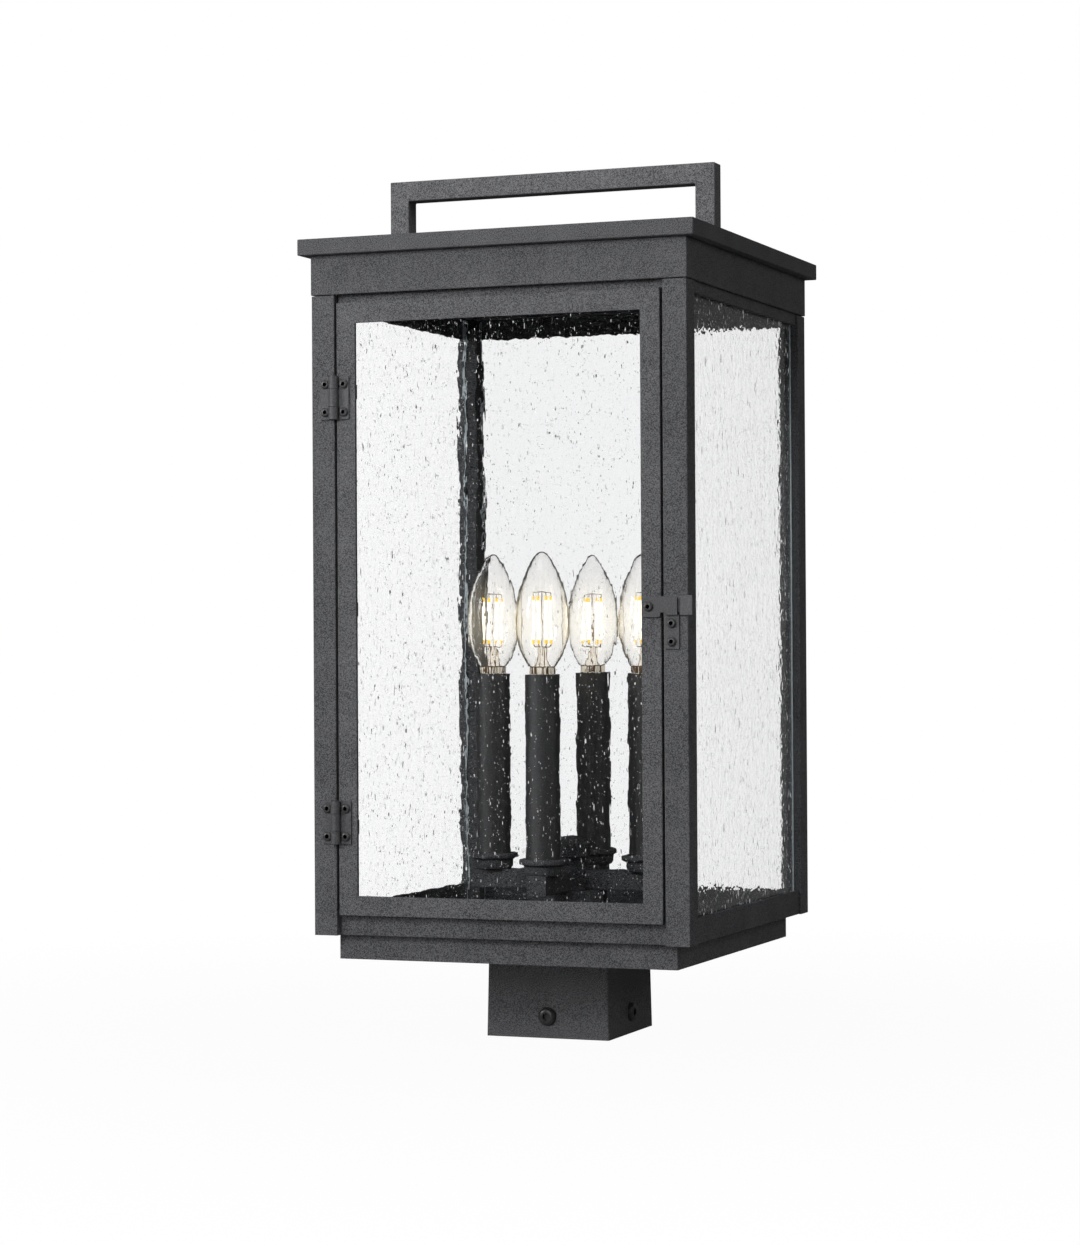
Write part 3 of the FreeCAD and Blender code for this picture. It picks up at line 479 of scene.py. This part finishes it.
# Candle cluster: a turned canopy and hub, four square arms welded to the hub, and turned
# cups at their ends, all coated. The threaded tube, its nuts and the wires stay plain.
def turned(points, steps):
    """Outline of distances and heights, turned round the upright axis. Smooth but for its sharp edges."""
    shape = bmesh.new()
    corners = [shape.verts.new((distance, 0, height)) for distance, height in points]
    ends = corners[1:] + corners[:1] if points[0][0] > 0 else corners[1:]
    lines = [shape.edges.new(pair) for pair in zip(corners, ends)]
    bmesh.ops.spin(shape, geom=corners + lines, cent=(0, 0, 0), axis=(0, 0, 1), angle=math.tau,
                   steps=steps, use_merge=True)
    bmesh.ops.remove_doubles(shape, verts=shape.verts, dist=0.001 * MM)
    bmesh.ops.recalc_face_normals(shape, faces=shape.faces)
    return shape


low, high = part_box("wiring_canopy")
canopy_wall = 1.2 * MM
canopy_rounding = 1.6 * MM
r, foot, top = high.x, low.z, high.z
canopy = turned([(0, top), (r - canopy_rounding, top), (r - 0.5 * MM, top - 0.4 * MM),
                 (r, top - canopy_rounding), (r, foot), (r - canopy_wall, foot),
                 (r - canopy_wall, top - canopy_rounding), (0, top - 1.5 * MM)], steps=96)
shown("cluster_canopy", canopy, coat, "lantern", "black_coat", "wiring_canopy")
softened("cluster_arms", coat, "lantern", "black_coat", radius=0.4 * MM)
dress(coat, "cluster_hub")
dress(zinc, "supply_nipple", "nipple_locknuts")
wire_cover = paint("wire_cover", (0.03, 0.03, 0.032), rough=0.45, grain=1.0 * MM, relief=0.01 * MM)
dress(wire_cover, "supply_wires")

candles = []
for number in range(1, 5):
    low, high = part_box("candle_cup_" + str(number))
    candles.append(Matrix.Translation(((low.x + high.x) / 2, (low.y + high.y) / 2, 0)))
cup_foot, cup_top = low.z, high.z
cup_bore = 11.5 * MM
cup_body = 12.9 * MM
cup_rim = 16 * MM
cup_floor = 2.2 * MM
wire_hole = 3 * MM
for number, candle in enumerate(candles, 1):
    cup = turned([
        (cup_bore, cup_top - 2 * MM), (cup_bore, cup_top - 0.4 * MM), (11.9 * MM, cup_top),
        (15.4 * MM, cup_top), (15.85 * MM, cup_top - 0.2 * MM), (cup_rim, cup_top - 0.7 * MM),
        (cup_rim, cup_top - 2.6 * MM), (15.7 * MM, cup_top - 3.1 * MM), (13.4 * MM, cup_top - 4.0 * MM),
        (cup_body, cup_top - 4.6 * MM), (cup_body, cup_foot + 2.4 * MM), (12.3 * MM, cup_foot + 1.0 * MM),
        (11.6 * MM, cup_foot), (wire_hole, cup_foot), (wire_hole, cup_foot + cup_floor),
        (11.4 * MM, cup_foot + cup_floor)], steps=64)
    shown("cup_" + str(number), cup, coat, "lantern", "black_coat", "candle_cup_" + str(number),
          places=[candle])

# Candle sleeves: thin steel tubes with a smoother satin coat, which stand in the cups over
# black phenolic lampholders.
satin = paint("satin_black_sleeve", (0.044, 0.044, 0.046), rough=0.5, grain=0.9 * MM, relief=0.015 * MM,
              gloss=0.9)
dress(satin, *["candle_sleeve_" + str(number) for number in range(1, 5)])
holder = paint("black_phenolic", (0.02, 0.02, 0.02), rough=0.5, grain=1.0 * MM, relief=0.01 * MM)
dress(holder, "lampholders")

# Bulbs: clear candle bulbs. Each has a nickel collar, a blown shell, and inside it a glass
# stem with a centre rod and support wires that carry four bright strips with yellow ends.
collar_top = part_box("bulb_bases")[1].z
collar_foot = collar_top - 4.9 * MM
cap_foot = collar_foot - 20 * MM
cap_radius = 6.9 * MM
collar_radius = 8.7 * MM
waist = 8.45 * MM
waist_foot = collar_top - 0.9 * MM
# The collar's cream and brown streaks are painted reflections, and the cream ones also glow with painted
# light. The narrow top above its waist stays brown.
nickel, flow, _, (x, y, z) = new_material("nickel_collar_painted_reflections")
streak_spot = flow.node("ShaderNodeCombineXYZ", {0: x / (1.7 * MM), 1: y / (1.7 * MM), 2: z / (60 * MM)})
painted_reflection_bands = flow.node("ShaderNodeTexNoise", {
    "Vector": streak_spot, "Scale": 1.0, "Detail": 2.0, "Roughness": 0.6}).between(0.43, 0.55)
painted_shine = painted_reflection_bands * (1 - z.between(waist_foot, waist_foot + 0.3 * MM))
finished(flow, flow.node("ShaderNodeBsdfPrincipled", {
    "Base Color": flow.mix(painted_shine, (0.26, 0.16, 0.09, 1), (0.94, 0.88, 0.79, 1)),
    "Emission Color": flow.mix(painted_shine, (0, 0, 0, 1), (0.45, 0.41, 0.33, 1)),
    "Emission Strength": 1.0,
    "Metallic": 0.3, "Roughness": painted_reflection_bands * 0.2 + 0.15}))
collar = [(0, cap_foot), (cap_radius, cap_foot), (cap_radius, collar_foot), (8.5 * MM, collar_foot),
          (collar_radius, collar_foot + 0.3 * MM), (collar_radius, waist_foot),
          (waist, collar_top - 0.7 * MM), (waist, collar_top - 0.4 * MM),
          (collar_radius, collar_top - 0.3 * MM), (8.6 * MM, collar_top), (0, collar_top)]
shown("bulb_collars", turned(collar, steps=64), nickel, "lantern", "bulb_cap", "bulb_bases", places=candles)

bulb_middle = collar_top + 29.5 * MM
bulb_glass, flow, _, (x, y, z) = new_material("bulb_glass")
# The shell has painted light. Its middle has a warm painted glow and a warmer tint, although it is no lamp.
# Its rims are painted dark where it is seen edge on: grey above and below, and tan in the glowing middle.
painted_glow_share = 1 - flow.math("ABSOLUTE", z - bulb_middle).between(4 * MM, 34 * MM)
edge_on = flow.node("ShaderNodeLayerWeight", {"Blend": 0.5}, "Facing").between(0.76, 0.94)
wall_tint_painted_warm = flow.mix(painted_glow_share, (0.99, 0.986, 0.98, 1), (0.995, 0.985, 0.96, 1))
painted_rim_shade = flow.mix(painted_glow_share, (0.36, 0.34, 0.31, 1), (0.8, 0.62, 0.38, 1))
blown = flow.node("ShaderNodeBsdfPrincipled", {
    "Base Color": flow.mix(edge_on, wall_tint_painted_warm, painted_rim_shade),
    "Roughness": 0.0, "IOR": 1.35, "Transmission Weight": 1.0,
    "Emission Color": flow.mix(painted_glow_share, (0, 0, 0, 1), (0.055, 0.049, 0.037, 1)),
    "Emission Strength": 1.0})
let_light_through(flow, blown, (0.97, 0.95, 0.9, 1))

outline = bpy.data.curves.new("bulb_outline", "CURVE")
outline.dimensions = "3D"
outline.resolution_u = 7
line = outline.splines.new("BEZIER")
radii_and_rises = ((9.1, 0.0), (13.6, 8.6), (16.5, 17.8), (17.3, 27.0), (17.0, 36.5), (15.5, 46.0),
                   (12.6, 55.5), (8.7, 64.5), (4.0, 72.3), (0.0, 74.7))
line.bezier_points.add(len(radii_and_rises) - 1)
for knot, (radius, rise) in zip(line.bezier_points, radii_and_rises):
    knot.co = (radius * MM, 0, collar_top + rise * MM)
    knot.handle_left_type = knot.handle_right_type = "AUTO"
tip = line.bezier_points[-1]
tip.handle_left_type = tip.handle_right_type = "FREE"
tip.handle_left = tip.co + Vector((1.8 * MM, 0, 0))
guide = bpy.data.objects.new("bulb_outline", outline)
drawn = bpy.data.meshes.new_from_object(guide)
outer = [Vector((max(vert.co.x, 0), vert.co.z)) for vert in drawn.vertices]
bpy.data.objects.remove(guide)
wall = 0.7 * MM
inner = []
for before, point, after in zip(outer, outer[1:], outer[2:]):
    along = (after - before).normalized()
    inner.append(point + Vector((-along.y, along.x)) * wall)
inner = [point for point in inner if point.x > 0.2 * MM]
profile = [(0, outer[-1].y - wall)] + [tuple(point) for point in reversed(inner)]
profile += [(outer[0].x - wall, collar_top), (outer[0].x, collar_top)]
profile += [tuple(point) for point in outer[1:-1]] + [(0, outer[-1].y)]
for number, candle in enumerate(candles, 1):
    shown("bulb_" + str(number), turned(profile, steps=72), bulb_glass, "lantern", "bulb_glass",
          "bulb_glass_" + str(number), crease=50, places=[candle])


def rod(shape, start, end, radius):
    """Adds a round bar between two points to a shape."""
    run = Vector(end) - Vector(start)
    middle = (Vector(start) + Vector(end)) / 2
    bmesh.ops.create_cone(shape, cap_ends=True, segments=8, radius1=radius, radius2=radius,
                          depth=run.length, matrix=standing(middle, run))


stem_top = collar_top + 13.1 * MM
stem_glass, flow, _, (x, y, z) = new_material("stem_glass")
edge_on = flow.node("ShaderNodeLayerWeight", {"Blend": 0.5}, "Facing").between(0.35, 0.9)
rise = z.between(collar_top, collar_top + 14 * MM)
amber = flow.node("ShaderNodeBsdfPrincipled", {
    "Base Color": flow.mix(rise, (0.5, 0.36, 0.2, 1), (0.45, 0.27, 0.1, 1)),
    "Roughness": 0.1, "Specular IOR Level": 0.5})
bare = flow.node("ShaderNodeBsdfTransparent", {"Color": (0.98, 0.95, 0.9, 1)})
finished(flow, flow.node("ShaderNodeMixShader", {0: edge_on * 0.85 + 0.03, 1: bare, 2: amber}))
stem = turned([(0, collar_top), (5.4 * MM, collar_top), (4.4 * MM, collar_top + 1.6 * MM),
               (3.4 * MM, collar_top + 4 * MM), (2.9 * MM, collar_top + 8 * MM),
               (3.1 * MM, stem_top - 1.6 * MM), (2.4 * MM, stem_top - 0.4 * MM), (0, stem_top)], steps=32)
shown("bulb_stems", stem, stem_glass, "lantern", "bulb_glass", crease=60, places=candles)

wire = paint("support_wire", (0.25, 0.15, 0.07), rough=0.35, grain=1.0 * MM, relief=0.005 * MM,
             gloss=0.5, mottle=0.1, metallic=0.3)
strip_foot = collar_top + 14.5 * MM
strip_top = strip_foot + 31.1 * MM
cross = collar_top + 48.5 * MM
reach = 6.4 * MM * math.sqrt(0.5)
lead_foot, lead_top = 1.7 * MM, 1.5 * MM
lead_wire, foot_wire, top_wire = 0.22 * MM, 0.28 * MM, 0.2 * MM
corners = [(east, north) for east in (-1, 1) for north in (-1, 1)]
wires = bmesh.new()
rod(wires, (0, 0, stem_top - 6 * MM), (0, 0, cross), lead_wire)
for side in (-1, 1):
    rod(wires, (side * lead_foot, 0, collar_top), (side * lead_top, 0, stem_top), lead_wire)
for east, north in corners:
    foot = (east * reach, north * reach, strip_foot)
    bend = (east * reach * 0.8, north * reach * 0.8, strip_foot - 1.9 * MM)
    arm_end = (east * reach, north * reach, cross - 0.5 * MM)
    rod(wires, (east * lead_top, 0, stem_top - 0.4 * MM), bend, foot_wire)
    rod(wires, bend, foot, foot_wire)
    rod(wires, (0, 0, cross), arm_end, top_wire)
    rod(wires, arm_end, (east * reach, north * reach, strip_top), top_wire)
shown("bulb_wires", wires, wire, "lantern", "filament", "bulb_filaments", crease=60, places=candles)

strip_size = Matrix.Diagonal((0.9 * MM, 1.6 * MM, strip_top - strip_foot, 1))
strip_end = 2.6 * MM
strip_fade = 3.2 * MM
strip_light, flow, _, (x, y, z) = new_material("light_strip")
middle = flow.math("MULTIPLY", z.between(strip_foot + strip_end, strip_foot + strip_fade),
                   1 - z.between(strip_top - strip_fade, strip_top - strip_end))
finished(flow, flow.node("ShaderNodeBsdfPrincipled", {
    "Base Color": flow.mix(middle, (0.95, 0.72, 0.1, 1), (0.95, 0.85, 0.6, 1)), "Roughness": 0.4,
    "Emission Color": flow.mix(middle, (0.42, 0.25, 0.01, 1), (1.0, 0.9, 0.68, 1)),
    "Emission Strength": 2.2}))
strips = bmesh.new()
for east, north in corners:
    centre = Matrix.Translation((east * reach, north * reach, (strip_foot + strip_top) / 2))
    turn = Matrix.Rotation(math.pi / 4 * east * north, 4, "Z")
    bmesh.ops.create_cube(strips, size=1, matrix=centre @ turn @ strip_size)
bmesh.ops.bevel(strips, geom=list(strips.edges), offset=0.25 * MM, offset_type="OFFSET", segments=2,
                profile=0.5, affect="EDGES", clamp_overlap=True, material=-1)
shown("bulb_strips", strips, strip_light, "lantern", "filament", crease=60, places=candles)

# Studio: a pale floor in white surroundings, at full strength for the camera and through glass
# and faint where mirrored. Soft lamps stand in front, above, beside and behind.
def ray_kinds(flow):
    """1 or 0 for a ray straight from the camera, one through glass, one past two panes and a mirrored one."""
    seen = flow.node("ShaderNodeLightPath", output="Is Camera Ray")
    through = flow.node("ShaderNodeLightPath", output="Is Transmission Ray")
    passes = flow.node("ShaderNodeLightPath", output="Transmission Depth")
    mirrorings = flow.node("ShaderNodeLightPath", output="Glossy Depth")
    deep = flow.math("GREATER_THAN", passes, 2.5)
    mirrored = flow.math("GREATER_THAN", mirrorings, 0.5)
    return seen, through, deep, mirrored


gain_past_two_panes = 0.3
shadow_share = 0.04
floor_radius = 0.85
floor_shape = bmesh.new()
bmesh.ops.create_circle(floor_shape, cap_ends=True, segments=96, radius=floor_radius)
floor_mesh = bpy.data.meshes.new("floor")
floor_shape.to_mesh(floor_mesh)
floor_shape.free()
floor = bpy.data.objects.new("floor", floor_mesh)
bpy.context.scene.collection.objects.link(floor)
pale, flow, place, _ = new_material("pale_floor")
seen, through, deep, mirrored = ray_kinds(flow)
matt = flow.node("ShaderNodeBsdfDiffuse", {"Color": (0.5, 0.5, 0.5, 1)})
dim = flow.node("ShaderNodeEmission", {"Color": (0.05, 0.05, 0.05, 1), "Strength": 1.0})
white = flow.node("ShaderNodeEmission", {
    "Color": (1, 1, 1, 1), "Strength": deep * gain_past_two_panes + 1})
away = flow.node("ShaderNodeVectorMath", {0: place}, "Value", operation="LENGTH").between(0.2, 0.8)
whiteness = flow.math("MAXIMUM", seen, through) * (away * shadow_share + (1 - shadow_share))
lit = flow.node("ShaderNodeMixShader", {0: whiteness, 1: matt, 2: white})
finished(flow, flow.node("ShaderNodeMixShader", {0: mirrored * 0.95, 1: lit, 2: dim}))
floor_mesh.materials.append(pale)


def lamp(name, place, aim, width, depth, power, mirrored=True):
    """Soft light, unseen itself, that faces a height on the upright axis. Gloss and glass may mirror it."""
    data = bpy.data.lights.new(name, "AREA")
    data.shape = "RECTANGLE"
    data.size = width
    data.size_y = depth
    data.energy = power
    light = bpy.data.objects.new(name, data)
    light.location = place
    light.rotation_euler = (Vector((0, 0, aim)) - Vector(place)).to_track_quat("-Z", "Y").to_euler()
    light.visible_camera = False
    light.visible_glossy = mirrored
    light.visible_transmission = mirrored
    bpy.context.scene.collection.objects.link(light)


lamp("key", (-1.75, -1.9, 0.85), aim=0.32, width=0.6, depth=0.9, power=16)
lamp("fill", (-0.22, -2.4, 0.45), aim=0.28, width=0.7, depth=0.9, power=4.5)
lamp("front", (-0.15, -1.1, 0.75), aim=0.35, width=0.6, depth=0.4, power=5.6, mirrored=False)
lamp("side", (1.9, -0.4, 1.1), aim=0.4, width=0.5, depth=0.9, power=5)
lamp("top", (0.0, -0.8, 1.75), aim=0.45, width=1.0, depth=0.7, power=5)
lamp("behind", (-0.9, 2.2, 1.0), aim=0.3, width=0.9, depth=0.9, power=18, mirrored=False)
lamp("far_side", (-2.0, 0.9, 0.9), aim=0.3, width=0.6, depth=0.9, power=7, mirrored=False)

world = bpy.data.worlds.new("studio")
bpy.context.scene.world = world
world.use_nodes = True
world.node_tree.nodes.clear()
flow = Flow(world.node_tree)
seen, through, deep, mirrored = ray_kinds(flow)
# A dim card far behind the lantern is all that its slanted glass mirrors.
card_side = (0.365, 0.931, 0)
toward = flow.node("ShaderNodeTexCoord", output="Generated")
card = flow.node("ShaderNodeVectorMath", {0: toward, 1: card_side}, "Value", operation="DOT_PRODUCT")
white = flow.math("MAXIMUM", seen, through * (deep * gain_past_two_panes + 1)) * (1 - mirrored)
strength = flow.math("MAXIMUM", white, mirrored * card.between(0.9, 0.96) * 0.1 + 0.04)
backdrop = flow.node("ShaderNodeBackground", {"Color": (1, 1, 1, 1), "Strength": strength})
output = world.node_tree.nodes.new("ShaderNodeOutputWorld")
world.node_tree.links.new(backdrop.socket, output.inputs["Surface"])

# Camera: a long lens two metres away and almost level with the middle, which sees the door
# and the right side.
camera_data = bpy.data.cameras.new("camera")
camera_data.sensor_width = 36
camera_data.lens = 89.27
camera_data.clip_start = 0.05
camera_place = (0.7325, -1.9195, 0.2595)
camera = bpy.data.objects.new("camera", camera_data)
bpy.context.scene.collection.objects.link(camera)
turn = math.radians(21.414)
pitch = math.radians(0.330)
roll = math.radians(-0.325)
ahead = Vector((-math.sin(turn) * math.cos(pitch), math.cos(turn) * math.cos(pitch), math.sin(pitch)))
right = Vector((math.cos(turn), math.sin(turn), 0))
up = right.cross(ahead)
level_right = right * math.cos(roll) + up * math.sin(roll)
level_up = up * math.cos(roll) - right * math.sin(roll)
axes = Matrix((level_right, level_up, -ahead)).transposed().to_4x4()
camera.matrix_world = Matrix.Translation(camera_place) @ axes
bpy.context.scene.camera = camera
bpy.context.scene.view_settings.view_transform = "Standard"
